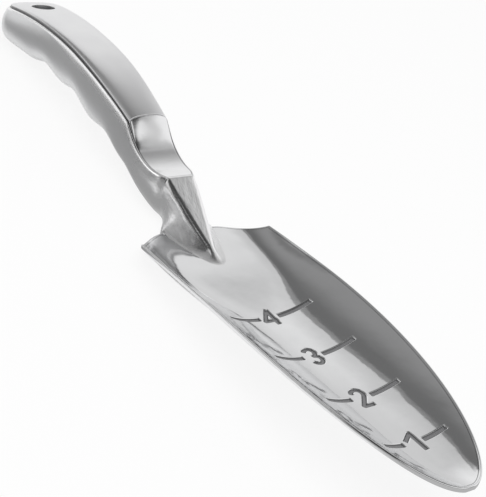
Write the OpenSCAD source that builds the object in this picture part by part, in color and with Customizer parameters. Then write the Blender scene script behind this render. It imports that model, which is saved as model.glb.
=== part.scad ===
// Hand trowel: a dished, depth-marked blade is riveted from beneath to the foot of a
// cast handle. A recess along the top of the handle holds a crowned grip panel, set on
// two dowels, and a scooped thumb rest with a peg of its own.
//
// The trowel is drawn about its blade. Distances run back from the tip towards the
// butt, heights are above the floor of the dish, and at_rest() then sets the trowel
// down on its heel and butt, with the middle of its footprint at the origin.

/* [Blade] */
// Length of the blade from its tip to its shoulder corners
blade_length = 144; // [132:1:160]
// Width of the blade across its widest part
blade_width = 60; // [54:0.2:70]
// Width across the shoulder corners
shoulder_width = 58.8; // [50:0.2:70]
// Distance of the widest part from the tip
widest_at = 114; // [100:1:124]
// Fullness of the sides towards the tip, where 2 is an ellipse
tip_fullness = 2.4; // [2:0.1:3]
// Sharpness of the very tip, where 0.5 is round
tip_sharpness = 0.52; // [0.5:0.01:0.6]
// Thickness of the blade
blade_thickness = 2; // [1.6:0.1:3]
// Height of the rim at the widest part
rim_height = 12.7; // [9:0.1:16]
// Height of the rim at the tip
tip_rim_height = 2; // [1.5:0.1:4]
// Fall of the rim from its widest part to the tip, where 2 is a parabola
rim_fall = 2.2; // [1.8:0.1:2.6]
// Length over which the floor rises to the rim at the tip
tip_run = 12; // [6:1:20]
// Steepness of the dish's walls, where 2 is a parabola
wall_power = 2.15; // [1.8:0.05:3]
// Steepness of the walls beside the foot
heel_wall_power = 2.9; // [2:0.05:4]
// Bevel along the upper and lower edge of the rim
rim_bevel = 0.5; // [0.2:0.1:0.7]
// Distance that the heel runs back behind the shoulder corners
heel_bow = 13; // [9:1:18]
// Distance from the tip to where the floor begins to climb to the heel
ramp_at = 96; // [80:1:110]

/* [Depth marks] */
// Spacing of the depth marks, one inch
mark_pitch = 25.4; // [20:0.1:27]
// Number of depth marks
mark_count = 4; // [1:1:4]
// Half length of the mark nearest the tip
first_mark_reach = 13.1; // [10:0.1:16]
// Half length of the longest marks
mark_reach = 18; // [12:0.1:20]
// Width of a mark's groove
mark_width = 1.8; // [1:0.1:2.2]
// Depth of a mark's groove
mark_depth = 0.6; // [0.3:0.1:0.9]
// Height of a numeral
numeral_height = 10; // [7:0.1:12]
// Width of a numeral
numeral_width = 5.8; // [5:0.1:7]
// Width of a numeral's stroke
numeral_stroke = 1.5; // [1:0.1:1.8]
// Space between a numeral and the groove on either side of it
numeral_gap = 1.3; // [1:0.1:3]

/* [Foot and neck] */
// Length of the foot that sits on the blade
foot_length = 24.3; // [20:0.1:30]
// Width of the foot at the blade's heel
foot_width = 23; // [20:0.2:28]
// Height of the foot's seat at the blade's heel
seat_height = 6.9; // [5:0.1:9]
// Climb of the foot's seat towards the heel, in degrees
seat_climb = 5.7; // [3:0.1:8]
// Distance from the blade's heel to the crest where the neck meets the thumb rest
crest_setback = 9.8; // [8:0.1:14]
// Height of the crest
crest_height = 24.5; // [20:0.1:30]
// Width of the neck's flat top at the crest
crest_width = 12.3; // [9:0.1:14]
// Distance from the foot's nose to the point of the neck's flat top
point_setback = 4.3; // [2:0.1:8]
// Length over which the neck's flat top turns up from the blade
neck_turn = 3; // [1:0.1:5]
// Length behind the heel over which the foot blends into the neck
foot_blend = 13; // [10:0.5:16]
// Width of the neck below the crest
neck_width = 16; // [13:0.1:19]
// Drop of the neck's underside below the heel at the crest
neck_under_drop = 0.4; // [0:0.1:1]
// Height of the neck's underside below the middle of the thumb rest
neck_under_height = 10.5; // [8:0.1:13]

/* [Thumb rest] */
// Length of the thumb rest from the crest to its ridge
thumb_length = 27.6; // [24:0.1:34]
// Distance from the crest over which the handle flares to the thumb rest's seat
flare_length = 3.9; // [2:0.1:6]
// Width of the handle at the end of the flare
flare_width = 15.7; // [13:0.1:17]
// Distance from the crest to where the seat of the thumb rest is widest
seat_setback = 11.6; // [8:0.1:14]
// Width of the handle across the seat of the thumb rest
thumb_width = 17.4; // [15:0.1:20]
// Slope of the thumb rest's face up to its ridge, in degrees
thumb_slope = 44; // [38:1:50]
// Radius of the hollow between the seat and the face
thumb_radius = 24; // [15:1:28]
// Length below the ridge over which the swell of the thumb rest fades out
swell_fade = 9.8; // [6:0.1:12]
// Thickness of the thumb rest
thumb_thickness = 2; // [1.5:0.1:3]
// Diameter of the peg beneath the thumb rest
thumb_peg_d = 4; // [3:0.1:5]
// Length of the peg beneath the thumb rest
thumb_peg_length = 4; // [3:0.1:6]

/* [Grip] */
// Length of the grip from the ridge of the thumb rest to the butt
grip_length = 109; // [95:0.1:130]
// Height of the grip's crown
crown_height = 49.6; // [44:0.1:56]
// Distance of the crown from the butt
crown_setback = 38; // [30:1:50]
// Radius of the arch along the top of the grip
arch_radius = 187; // [170:1:240]
// Width of the grip at the ridge of the thumb rest
ridge_width = 19.2; // [16:0.1:22]
// Width of the grip under the palm
palm_width = 22; // [18:0.1:26]
// Width of the grip at its waist
waist_width = 22.6; // [18:0.1:26]
// Width of the grip at its butt
butt_width = 24.8; // [22:0.1:30]
// Depth of the grip at the ridge of the thumb rest
ridge_depth = 19.4; // [17:0.1:24]
// Depth of the grip under the palm
palm_depth = 20.8; // [18:0.1:26]
// Depth of the grip at its waist
waist_depth = 19.6; // [17:0.1:25]
// Depth of the grip at its butt
butt_depth = 14.6; // [13:0.1:20]
// Length over which the butt is rounded
butt_rounding = 13; // [10:0.5:16]
// Swell of the grip's sides below their upper edge
side_swell = 1.2; // [0:0.1:1.8]
// Swell of the butt below its upper edge
butt_swell = 2.9; // [1:0.1:3.5]

/* [Finger grooves] */
// Number of finger grooves
finger_count = 3; // [1:1:3]
// Spacing of the finger grooves
finger_pitch = 26; // [20:0.5:30]
// Depth of a finger groove
finger_depth = 2.4; // [1:0.1:3.5]
// Distance from the butt to the middle of the first finger groove
first_finger_setback = 41; // [34:1:46]

/* [Grip panel] */
// Thickness of the panel at its edge
panel_thickness = 2; // [1.5:0.1:3]
// Rise of the panel's middle over its edges at the butt
panel_crown_butt = 2; // [1:0.1:3]
// Rise of the panel's middle over its edges at the ridge
panel_crown_ridge = 3; // [1.5:0.1:4]
// Width of the handle's border around the panel and the thumb rest
border_width = 0.7; // [0.6:0.1:1.5]
// Gap around the panel and the thumb rest, and behind the blade
inlay_gap = 0.15; // [0.1:0.05:0.3]

/* [Hang hole] */
// Diameter of the hang hole
hang_hole_d = 10; // [6:0.5:12]
// Distance from the butt to the hang hole's centre
hang_hole_setback = 17; // [15:0.5:22]

/* [Fasteners] */
// Diameter of a rivet's shank
rivet_d = 3; // [2.5:0.1:3.4]
// Diameter of a rivet's countersunk head
rivet_head_d = 5.6; // [5:0.1:6]
// Length of a rivet's shank inside the foot
rivet_grip = 3.6; // [3:0.1:4]
// Spacing of the two rivets
rivet_pitch = 7; // [6.4:0.1:7.4]
// Distance from the blade's heel to the rear rivet
rivet_setback = 4; // [3.6:0.1:4.6]
// Clearance around a rivet's shank
rivet_clearance = 0.1; // [0.05:0.05:0.2]
// Diameter of a dowel
dowel_d = 3; // [2:0.1:4]
// Length of a dowel inside the handle
dowel_depth = 6; // [4:0.5:8]
// Length of a dowel inside the panel
dowel_reach = 1.8; // [1:0.1:2]
// Distance of the dowels from the two ends of the grip
dowel_setback = 32; // [26:1:40]
// Clearance around a dowel
dowel_clearance = 0.05; // [0.05:0.05:0.1]

/* [Hidden] */
$fn = 48;

// Stations along the trowel, as distances from the tip.
heel_at = blade_length + heel_bow;
nose_at = heel_at - foot_length;
point_at = nose_at + point_setback;
crest_at = heel_at + crest_setback;
ridge_at = crest_at + thumb_length;
butt_at = ridge_at + grip_length;
crown_at = butt_at - crown_setback;
round_at = butt_at - butt_rounding;
thumb_middle_at = crest_at + thumb_length / 2;
hole_at = butt_at - hang_hole_setback;
waist_at = ridge_at + grip_length / 2;
palm_at = ridge_at + grip_length / 4;

// How finely the shapes are divided.
blade_rows = 34;
blade_columns = 24;
foot_rows = 15;
handle_rows = 48;
thumb_rows = 20;
panel_rows = 18;
butt_rows = 9;
section_steps = 11;
inlay_columns = 8;
rows_per_mark = 6;
skin_columns = 16;
// The blade's rows crowd towards the tip by this power.
row_crowding = 1.6;
// Rounding powers: 2 gives an ellipse, and more gives a squarer shape.
plan_power = 2.4;
end_power = 3.5;
section_power = 3;
crown_power = 3;
// Powers of the heel's sweep, the foot's flare and the butt's backward swell.
sweep_power = 1.6;
flare_power = 2.6;
butt_power = 1.4;
// Blunt ends left where the blade's tip, the butt and the neck's flat top would run to a point.
tip_blunt = 0.15;
butt_blunt = 0.02;
neck_blunt = 0.15;
// Margin of flat blade left around the foot.
land_margin = 0.4;
// Overlap that carries a cut past the surface it starts from.
past = 1;

// ---- Curves ----

function smooth(t) = let (u = min(1, max(0, t))) u * u * (3 - 2 * u);
function mix(a, b, t) = a + (b - a) * t;

// Smooth curve through a short list of [position, value] points.
function span_of(points, at, i = 0) =
    i >= len(points) - 2 || at < points[i + 1][0] ? i : span_of(points, at, i + 1);
function chord(a, b) = (b[1] - a[1]) / (b[0] - a[0]);
function tangent(points, i) = chord(points[max(0, i - 1)], points[min(len(points) - 1, i + 1)]);
function curve(points, at) =
    let (
        i = span_of(points, at),
        a = points[i],
        b = points[i + 1],
        run = b[0] - a[0],
        t = min(1, max(0, (at - a[0]) / run)),
        bend_a = (tangent(points, i) - chord(a, b)) * run,
        bend_b = (tangent(points, i + 1) - chord(a, b)) * run
    )
    mix(a[1], b[1], t) + t * (1 - t) * (bend_a * (1 - t) - bend_b * t);

// ---- Shape of the blade ----

function blade_half_width(s) =
    s < widest_at
    ? blade_width / 2 * pow(1 - pow(1 - s / widest_at, tip_fullness), tip_sharpness)
    : mix(blade_width, shoulder_width, pow((s - widest_at) / (blade_length - widest_at), 2)) / 2;
function rim_z(s) =
    rim_height - (rim_height - tip_rim_height) * pow(abs(s - widest_at) / widest_at, rim_fall);
// The foot's seat is a flat, gently climbing land, and the floor curves up to meet it.
function seat_z(s) = seat_height - (heel_at - s) * tan(seat_climb);
function floor_z(s) =
    s >= nose_at ? seat_z(s)
    : s <= ramp_at ? tip_rim_height * pow(max(0, 1 - s / tip_run), 2)
    : let (t = (s - ramp_at) / (nose_at - ramp_at))
      seat_z(nose_at) * smooth(t) - tan(seat_climb) * (nose_at - ramp_at) * t * t * (1 - t);
function ramp(s) = smooth((s - ramp_at) / (nose_at - ramp_at));
function land_half_width(s) = (foot_width / 2 + land_margin) * ramp(s);
function dish_z(s, y) =
    let (
        w = blade_half_width(min(s, blade_length)),
        land = land_half_width(s),
        t = max(0, abs(y) - land) / (w - land),
        power = mix(wall_power, heel_wall_power, ramp(s))
    )
    mix(floor_z(s), rim_z(min(s, blade_length)), pow(t, power));
// The heel runs straight across the land and sweeps forward to the shoulder corners.
function heel_line(t) =
    let (
        land = (foot_width + 2 * land_margin) / shoulder_width,
        u = max(0, abs(t) - land) / (1 - land)
    )
    heel_bow * (1 - pow(u, sweep_power));
// A point of the blade: row runs from 0 at the tip to 1, t from -1 to 1 across the blade,
// and drop is the depth below the upper face. The last rows bend back to the heel.
function row_at(row) = mix(tip_blunt, blade_length, pow(row, row_crowding));
function heel_share(s) = pow(max(0, s - ramp_at) / (blade_length - ramp_at), sweep_power);
function blade_point(row, t, drop) =
    let (
        s = row_at(row) + heel_line(t) * heel_share(row_at(row)),
        y = t * blade_half_width(row_at(row))
    )
    [-s, y, dish_z(s, y) - drop];
// Columns are even, drawn in from both edges by the width of the bevel.
columns = [for (c = [0 : blade_columns]) 2 * c / blade_columns - 1];
function bevelled(row, drop, bevel) =
    let (inner = 1 - min(0.3, rim_bevel / blade_half_width(row_at(row))))
    concat(
        [blade_point(row, -1, drop + bevel)],
        [for (t = columns) blade_point(row, t * inner, drop)],
        [blade_point(row, 1, drop + bevel)]
    );
function blade_face(drop, bevel) =
    [for (r = [0 : blade_rows]) bevelled(r / blade_rows, drop, bevel)];
blade_top = blade_face(0, rim_bevel);
blade_bottom = blade_face(blade_thickness, -rim_bevel);

// ---- Shape of the handle ----

// The neck's flat top climbs from the foot's nose to the crest.
function neck_rise(s) = sqrt(pow(s - nose_at, 2) + pow(neck_turn, 2)) - neck_turn;
function neck_z(s) =
    seat_z(s) + (crest_height - seat_z(crest_at)) * neck_rise(s) / neck_rise(crest_at);
function arch_z(s) =
    crown_height - arch_radius + sqrt(pow(arch_radius, 2) - pow(s - crown_at, 2));
// The thumb rest: a level seat, an arc and a straight face that ends at the ridge.
corner_at = ridge_at - (arch_z(ridge_at) - crest_height) / tan(thumb_slope);
hollow_reach = thumb_radius * tan(thumb_slope / 2);
function thumb_z(s) =
    let (from_start = s - (corner_at - hollow_reach))
    from_start <= 0 ? crest_height
    : from_start >= thumb_radius * sin(thumb_slope) ? crest_height + (s - corner_at) * tan(thumb_slope)
    : crest_height + thumb_radius - sqrt(pow(thumb_radius, 2) - pow(from_start, 2));
// Height of the handle's upper edge all the way along.
function edge_z(s) = s < crest_at ? neck_z(s) : s < ridge_at ? thumb_z(s) : arch_z(s);

width_line = [
    [crest_at, crest_width / 2],
    [crest_at + flare_length, flare_width / 2],
    [crest_at + seat_setback, thumb_width / 2],
    [ridge_at, ridge_width / 2],
    [palm_at, palm_width / 2],
    [waist_at, waist_width / 2],
    [round_at, butt_width / 2]
];
// Half width between the upper edges. The flat top of the neck narrows to a point.
function edge_half_width(s) =
    s <= point_at ? neck_blunt
    : s < crest_at ? mix(neck_blunt, crest_width / 2, sin(90 * (s - point_at) / (crest_at - point_at)))
    : s < round_at ? curve(width_line, s)
    : butt_width / 2 * rounding(s, plan_power);
// How much is left of the butt's width or depth where it is rounded off.
function rounding(s, power) =
    s < round_at ? 1 : pow(1 - pow((s - round_at) / butt_rounding, power), 1 / power);

// Underside of the handle behind the foot, which steps down past the edge of the blade.
under_line = [
    [heel_at, seat_z(heel_at) - blade_thickness],
    [crest_at, seat_z(heel_at) - neck_under_drop],
    [thumb_middle_at, neck_under_height],
    [ridge_at, arch_z(ridge_at) - ridge_depth],
    [palm_at, arch_z(palm_at) - palm_depth],
    [waist_at, arch_z(waist_at) - waist_depth],
    [butt_at, arch_z(butt_at) - butt_depth]
];
function finger_groove(s) =
    let (turn = (butt_at - first_finger_setback - s) / finger_pitch)
    turn < -0.5 || turn > finger_count - 0.5 ? 0 : finger_depth * (1 + cos(360 * turn)) / 2;
function under_z(s) = s <= heel_at ? seat_z(s) : curve(under_line, s) + finger_groove(s);

// Half width of the foot where it meets the blade, and of the neck and grip below their edges.
function foot_half_width(s) =
    s < heel_at
    ? foot_width / 2 * sqrt(max(0, (s - nose_at) / foot_length))
    : mix(foot_width, neck_width, smooth((s - heel_at) / foot_blend)) / 2;
function swell_at(s) =
    s < waist_at
    ? mix((neck_width - crest_width) / 2, side_swell, smooth((s - crest_at) / thumb_length))
    : mix(side_swell, butt_swell, smooth((s - waist_at) / (round_at - waist_at)));
function side_half_width(s) = edge_half_width(s) + swell_at(s) * rounding(s, plan_power);
// Half a cross-section, from the upper edge down and in to the middle of the underside.
// The butt swells backwards too, so each point is [x, y, z].
function grip_section(s, k) =
    let (
        a = 90 * k / section_steps,
        down = pow(sin(a), 2 / section_power),
        in = pow(max(0, cos(a)), 2 / section_power),
        swell = 1 - pow(1 - down, section_power),
        back = butt_swell * swell * in * pow(max(0, s - round_at) / butt_rounding, butt_power),
        depth = (edge_z(s) - under_z(s)) * rounding(s, end_power)
    )
    [-s - back, mix(edge_half_width(s), side_half_width(s), swell) * in, edge_z(s) - depth * down];
// The foot's flanks flare out to the blade, and the last steps run in along the underside.
flank_steps = section_steps - 3;
function foot_section(s, k) =
    let (down = min(1, k / flank_steps))
    [
        -s,
        k <= flank_steps
        ? mix(edge_half_width(s), foot_half_width(s), pow(down, flare_power))
        : foot_half_width(s) * sqrt((section_steps - k) / (section_steps - flank_steps)),
        k <= flank_steps ? mix(edge_z(s), min(seat_z(s), edge_z(s)), down) : under_z(s)
    ];
function half_section(s) =
    let (foot = 1 - smooth((s - heel_at) / foot_blend))
    [
        for (k = [0 : section_steps])
            foot >= 1 ? foot_section(s, k)
            : foot <= 0 ? grip_section(s, k)
            : mix(grip_section(s, k), foot_section(s, k), foot)
    ];
function handle_ring(s) =
    let (half = half_section(s))
    concat(
        half,
        [for (k = [section_steps - 1 : -1 : 0]) [half[k][0], -half[k][1], half[k][2]]]
    );

// ---- Shape of the inlays ----

// Half width of the recess, inset from the handle's edge by its border.
function recess_half_width(s) =
    s < round_at ? edge_half_width(s) - border_width
    : (butt_width / 2 - border_width)
        * pow(max(0, 1 - pow((s - round_at) / (butt_rounding - border_width), plan_power)), 1 / plan_power);
recess_start = crest_at + border_width;
recess_end = butt_at - border_width - butt_blunt;
function recess_z(s) = edge_z(s) - (s < ridge_at ? thumb_thickness : panel_thickness);
// Both inlays swell towards the ridge between them, and the swell fades out down the thumb rest.
function crown_rise(s) =
    s < ridge_at
    ? panel_crown_ridge * smooth(1 - (ridge_at - s) / swell_fade)
    : mix(panel_crown_ridge, panel_crown_butt, smooth((s - ridge_at) / (crown_at - ridge_at)))
        * (s < round_at ? 1 : recess_half_width(s) / recess_half_width(round_at));
function crown_z(s, t) = edge_z(s) + crown_rise(s) * sqrt(max(0, 1 - pow(abs(t), crown_power)));
inlay_ts = [for (c = [0 : inlay_columns]) -cos(180 * c / inlay_columns)];
function inlay_row(s, gap, z_of) =
    [for (t = inlay_ts) [-s, t * max(butt_blunt, recess_half_width(s) - gap), z_of(s, t)]];

// Rows along the handle, closer together where a surface turns.
function rows(from, to, count) = [for (i = [0 : count]) mix(from, to, i / count)];
function rounding_rows(from, to, count) =
    [for (i = [1 : count]) mix(from, to, sin(90 * i / count))];

// ---- Solids from points ----

// Closed solid between an upper and a lower grid of points with as many rows and columns.
module slab(top, bottom) {
    rows = len(top);
    cols = len(top[0]);
    lower = rows * cols;
    rim = concat(
        [for (r = [0 : rows - 1]) r * cols],
        [for (c = [1 : cols - 1]) (rows - 1) * cols + c],
        [for (r = [rows - 2 : -1 : 0]) r * cols + cols - 1],
        [for (c = [cols - 2 : -1 : 1]) c]
    );
    upper_faces = [
        for (r = [0 : rows - 2], c = [0 : cols - 2], half = [0, 1])
            let (i = r * cols + c)
            half == 0 ? [i, i + cols, i + cols + 1] : [i, i + cols + 1, i + 1]
    ];
    lower_faces = [for (f = upper_faces) [f[2] + lower, f[1] + lower, f[0] + lower]];
    side_faces = [
        for (i = [0 : len(rim) - 1], half = [0, 1])
            let (a = rim[i], b = rim[(i + 1) % len(rim)])
            half == 0 ? [b, a, a + lower] : [b, a + lower, b + lower]
    ];
    polyhedron(
        points = [for (row = concat(top, bottom), p = row) p],
        faces = concat(upper_faces, lower_faces, side_faces)
    );
}

// Closed solid through a row of rings with as many points each, drawn in to a last point.
module loft(rings, tail) {
    count = len(rings[0]);
    sides = [
        for (r = [0 : len(rings) - 2], i = [0 : count - 1], half = [0, 1])
            let (a = r * count + i, b = r * count + (i + 1) % count)
            half == 0 ? [a, b, b + count] : [a, b + count, a + count]
    ];
    last = (len(rings) - 1) * count;
    closing = [for (i = [0 : count - 1]) [last + i, last + (i + 1) % count, last + count]];
    polyhedron(
        points = [for (ring = concat(rings, [[tail]]), p = ring) p],
        faces = concat([[for (i = [count - 1 : -1 : 0]) i]], sides, closing)
    );
}

// ---- Depth marks ----

function arc(x, y, rx, ry, from, to, steps = 7) =
    [for (i = [0 : steps]) let (a = mix(from, to, i / steps)) [x + rx * cos(a), y + ry * sin(a)]];
// Strokes of each numeral, in a box about one wide and one high.
numerals = [
    [[[-0.55, 0.15], [0.44, 0.5], [0.44, -0.5]]],
    [concat(arc(0, 0.22, 0.5, 0.28, 165, -40), [[-0.5, -0.5], [0.5, -0.5]])],
    [concat(arc(0, 0.25, 0.46, 0.25, 155, -80), arc(0, -0.25, 0.5, 0.25, 80, -155))],
    [[[0.36, 0.5], [-0.6, -0.2], [0.62, -0.2]], [[0.36, 0.5], [0.36, -0.5]]]
];
function unit(v) = v / norm(v);
function left_of(v) = [-v[1], v[0]];
// Offset of a path's point to its left, mitred between its two segments as far as the limit.
mitre_limit = 0.4;
function mitre(path, i, by) =
    let (
        before = unit(path[max(1, i)] - path[max(1, i) - 1]),
        after = unit(path[min(len(path) - 1, i + 1)] - path[min(len(path) - 1, i + 1) - 1]),
        across = unit(left_of(before + after))
    )
    path[i] + across * by / max(mitre_limit, across * left_of(before));
module stroke(path, width) {
    last = len(path) - 1;
    polygon(concat(
        [for (i = [0 : last]) mitre(path, i, width / 2)],
        [for (i = [last : -1 : 0]) mitre(path, i, -width / 2)]
    ));
}
module numeral(digit) {
    wide = numeral_width - numeral_stroke;
    high = numeral_height - numeral_stroke;
    for (path = numerals[digit - 1])
        stroke([for (p = path) [p[0] * wide, p[1] * high]], numeral_stroke);
}
function reach_of(mark) =
    mix(first_mark_reach, mark_reach, sin(90 * (mark - 1) / max(1, mark_count - 1)));
module depth_mark(mark) {
    from = numeral_width / 2 + numeral_gap;
    rotate(90) numeral(mark);
    for (side = [-1, 1])
        translate([0, side * (from + reach_of(mark)) / 2])
            square([mark_width, reach_of(mark) - from], center = true);
}
// The skin of the dish, as thick as the marks are deep, so that every groove keeps its depth.
module marked_skin() {
    stations = rows(mark_pitch / 2, mark_pitch * (mark_count + 1 / 2), rows_per_mark * mark_count);
    across = rows(-mark_reach - past, mark_reach + past, skin_columns);
    slab(
        [for (s = stations) [for (y = across) [-s, y, dish_z(s, y) + past]]],
        [for (s = stations) [for (y = across) [-s, y, dish_z(s, y) - mark_depth]]]
    );
}
module depth_marks() {
    intersection() {
        marked_skin();
        translate([0, 0, -2 * past])
            linear_extrude(rim_height + 4 * past)
                for (mark = [1 : mark_count])
                    translate([-mark * mark_pitch, 0]) depth_mark(mark);
    }
}

// ---- Places of the fasteners and holes ----

// On the foot's seat, with Z square to it: the blade lies below zero and the foot above.
module on_seat(s) {
    translate([-s, 0, seat_z(s)]) rotate([0, seat_climb, 0]) children();
}
rivet_stations = [for (i = [0, 1]) heel_at - rivet_setback - i * rivet_pitch];
rivet_base = -blade_thickness * cos(seat_climb);
module rivet(gap = 0, reach = 0) {
    head = rivet_head_d / 2 + gap;
    shank = rivet_d / 2 + gap;
    translate([0, 0, rivet_base]) {
        cylinder(h = head - shank, r1 = head, r2 = shank);
        cylinder(h = rivet_grip + gap - rivet_base, r = shank);
        if (reach > 0) translate([0, 0, -reach]) cylinder(h = reach, r = head);
    }
}
// On the arch of the grip at a given depth below its edge, with Z square to the arch.
function arch_tilt(s) = asin((s - crown_at) / arch_radius);
module on_arch(s, below = 0) {
    translate([-s, 0, arch_z(s)]) rotate([0, -arch_tilt(s), 0]) translate([0, 0, -below]) children();
}
dowel_stations = [ridge_at + dowel_setback, butt_at - dowel_setback];
module dowel(gap = 0) {
    translate([0, 0, -dowel_depth - gap])
        cylinder(h = dowel_depth + dowel_reach + 2 * gap, d = dowel_d + 2 * gap);
}
module hang_hole() {
    on_arch(hole_at) cylinder(h = 2 * (butt_depth + palm_depth), d = hang_hole_d, center = true);
}
module thumb_peg(gap = 0) {
    low = thumb_z(corner_at) - thumb_thickness - thumb_peg_length - gap;
    translate([-corner_at, 0, low])
        cylinder(h = thumb_z(corner_at) - thumb_thickness / 2 - low, d = thumb_peg_d + 2 * gap);
}

// ---- Setting the trowel down ----

// The foot's rows crowd towards its nose, which is left blunt by starting past the first ones.
handle_stations = concat(
    [for (i = [3 : foot_rows]) nose_at + foot_length * pow(i / foot_rows, 2)],
    rows(heel_at + inlay_gap, round_at, handle_rows),
    rounding_rows(round_at, butt_at - butt_blunt, butt_rows)
);
handle_rings = [for (s = handle_stations) handle_ring(s)];
// The last point of the butt lies in the middle of its last ring, as far back as its sides.
butt_ring = handle_rings[len(handle_rings) - 1];
butt_point = [min([for (p = butt_ring) p[0]]), 0, (edge_z(butt_at) + under_z(butt_at)) / 2];
// The trowel rests on the line that touches it from below on both sides of its grip's start.
undersides = [
    for (rows = [blade_bottom, handle_rings], row = rows, p = row) if (abs(p[1]) < foot_width / 2) p
];
front_feet = [for (p = undersides) if (p[0] > -ridge_at) p];
rear_feet = [for (p = undersides) if (p[0] <= -ridge_at) p];
rest_tilt = min([for (r = rear_feet) max([for (f = front_feet) atan2(r[2] - f[2], f[0] - r[0])])]);
function rested(p) =
    [p[0] * cos(rest_tilt) - p[2] * sin(rest_tilt), p[0] * sin(rest_tilt) + p[2] * cos(rest_tilt)];
all_rows = concat(blade_top, blade_bottom, handle_rings, [[butt_point]]);
outline = [for (row = all_rows, p = row) rested(p)];
along = [for (p = outline) p[0]];
footing = min([for (p = outline) p[1]]);
module at_rest() {
    translate([-(min(along) + max(along)) / 2, 0, -footing]) rotate([0, -rest_tilt, 0]) children();
}

// ---- Sub-parts ----

// Dished blade with its depth marks and two countersunk holes under the foot.
module blade() {
    color("gainsboro") at_rest() difference() {
        slab(blade_top, blade_bottom);
        depth_marks();
        for (s = rivet_stations) on_seat(s) rivet(rivet_clearance, past);
    }
}

// Cast handle: foot, neck and grip in one, with the recess for the two inlays.
module handle_body() {
    recess_stations = concat(
        rows(recess_start, ridge_at - inlay_gap / 2, thumb_rows),
        rows(ridge_at + inlay_gap / 2, round_at, panel_rows),
        rounding_rows(round_at, recess_end, butt_rows)
    );
    color("darkgray") at_rest() difference() {
        loft(handle_rings, butt_point);
        slab(
            [for (s = recess_stations) inlay_row(s, 0, function(s, t) crown_z(s, 0) + past)],
            [for (s = recess_stations) inlay_row(s, 0, function(s, t) recess_z(s))]
        );
        for (s = rivet_stations) on_seat(s) rivet(rivet_clearance, past);
        for (s = dowel_stations) on_arch(s, panel_thickness) dowel(dowel_clearance);
        thumb_peg(dowel_clearance);
        hang_hole();
    }
}

// Crowned panel that fills the recess from the ridge to the butt.
module grip_panel() {
    stations = concat(
        rows(ridge_at + inlay_gap / 2, round_at, panel_rows),
        rounding_rows(round_at, recess_end - inlay_gap, butt_rows)
    );
    color("lightgray") at_rest() difference() {
        slab(
            [for (s = stations) inlay_row(s, inlay_gap, function(s, t) crown_z(s, t))],
            [for (s = stations) inlay_row(s, inlay_gap, function(s, t) recess_z(s))]
        );
        for (s = dowel_stations) on_arch(s, panel_thickness) dowel(dowel_clearance);
        hang_hole();
    }
}

// Scooped thumb rest with the peg that locates it in the recess.
module thumb_rest() {
    stations = rows(recess_start + inlay_gap, ridge_at - inlay_gap / 2, thumb_rows);
    color("whitesmoke") at_rest() {
        slab(
            [for (s = stations) inlay_row(s, inlay_gap, function(s, t) crown_z(s, t))],
            [for (s = stations) inlay_row(s, inlay_gap, function(s, t) recess_z(s))]
        );
        thumb_peg();
    }
}

// Two countersunk rivets, flush under the blade.
module foot_rivets() {
    color("silver") at_rest() for (s = rivet_stations) on_seat(s) rivet();
}

// Two plain dowels between the handle and the grip panel.
module locating_dowels() {
    color("dimgray") at_rest() for (s = dowel_stations) on_arch(s, panel_thickness) dowel();
}

blade();
handle_body();
grip_panel();
thumb_rest();
foot_rivets();
locating_dowels();
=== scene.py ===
"""Hand trowel: a polished, dished blade riveted to a cast handle with an inlaid panel and thumb rest."""

import math
from functools import partialmethod

import bpy
import numpy as np
from mathutils import Euler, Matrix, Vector


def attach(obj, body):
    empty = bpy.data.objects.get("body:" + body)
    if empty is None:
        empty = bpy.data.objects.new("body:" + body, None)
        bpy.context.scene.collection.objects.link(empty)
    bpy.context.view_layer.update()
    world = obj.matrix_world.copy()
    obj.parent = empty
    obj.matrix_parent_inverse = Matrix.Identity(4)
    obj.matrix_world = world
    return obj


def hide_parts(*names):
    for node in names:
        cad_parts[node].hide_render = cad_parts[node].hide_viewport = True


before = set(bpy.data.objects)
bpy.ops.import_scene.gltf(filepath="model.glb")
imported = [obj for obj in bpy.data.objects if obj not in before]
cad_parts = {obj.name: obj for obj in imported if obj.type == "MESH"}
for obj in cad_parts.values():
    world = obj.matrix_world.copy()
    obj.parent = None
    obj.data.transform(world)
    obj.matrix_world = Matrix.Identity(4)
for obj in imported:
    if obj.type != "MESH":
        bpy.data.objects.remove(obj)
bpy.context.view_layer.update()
scene = bpy.context.scene

# ---- Camera ----
# The trowel is seen from its tip's side and from above, with a long lens.

SENSOR_WIDTH = 36.0
FOCAL_PIXELS = 1200.0
LONG_SIDE_PIXELS = 497.0


def in_scene(name, data):
    """Puts a new object with the given data in the scene."""
    made = bpy.data.objects.new(name, data)
    scene.collection.objects.link(made)
    return made


camera_data = bpy.data.cameras.new("camera")
camera_data.sensor_width = SENSOR_WIDTH
camera_data.lens = SENSOR_WIDTH * FOCAL_PIXELS / LONG_SIDE_PIXELS
camera_data.clip_start = 0.01
camera = in_scene("camera", camera_data)
camera.location = (0.27874, -0.25463, 0.26118)
camera.rotation_euler = Euler((0.939523, -0.298875, 0.985080), "XYZ")
scene.camera = camera

# ---- Blade ----
# The blade is one sheet of aluminium, pressed to a dish and polished bright. Its rim is rounded
# off, and four numbered depth marks, one inch apart, are pressed into the floor of the dish.

# Lengths are in millimetres: s runs from the tip towards the butt, y across and z up from the
# floor of the dish. at_rest() then lays the shape down on the underside of its neck and its butt.
REST_TILT = math.radians(10.8236)
MIDDLE_AT = -154.398
FOOTING = -24.974


def at_rest(points):
    """Turns [-s, y, z] in millimetres into the trowel's place at rest, in metres."""
    points = np.asarray(points, float)
    across = points[..., 1]
    along = points[..., 0] * math.cos(REST_TILT) - points[..., 2] * math.sin(REST_TILT) - MIDDLE_AT
    up = points[..., 0] * math.sin(REST_TILT) + points[..., 2] * math.cos(REST_TILT) - FOOTING
    return np.stack([along, across, up], -1) / 1000


def plotted(s, y, z):
    """Points [-s, y, z], from arrays or single numbers."""
    return np.stack(np.broadcast_arrays(-s, y, z), -1)


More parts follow.
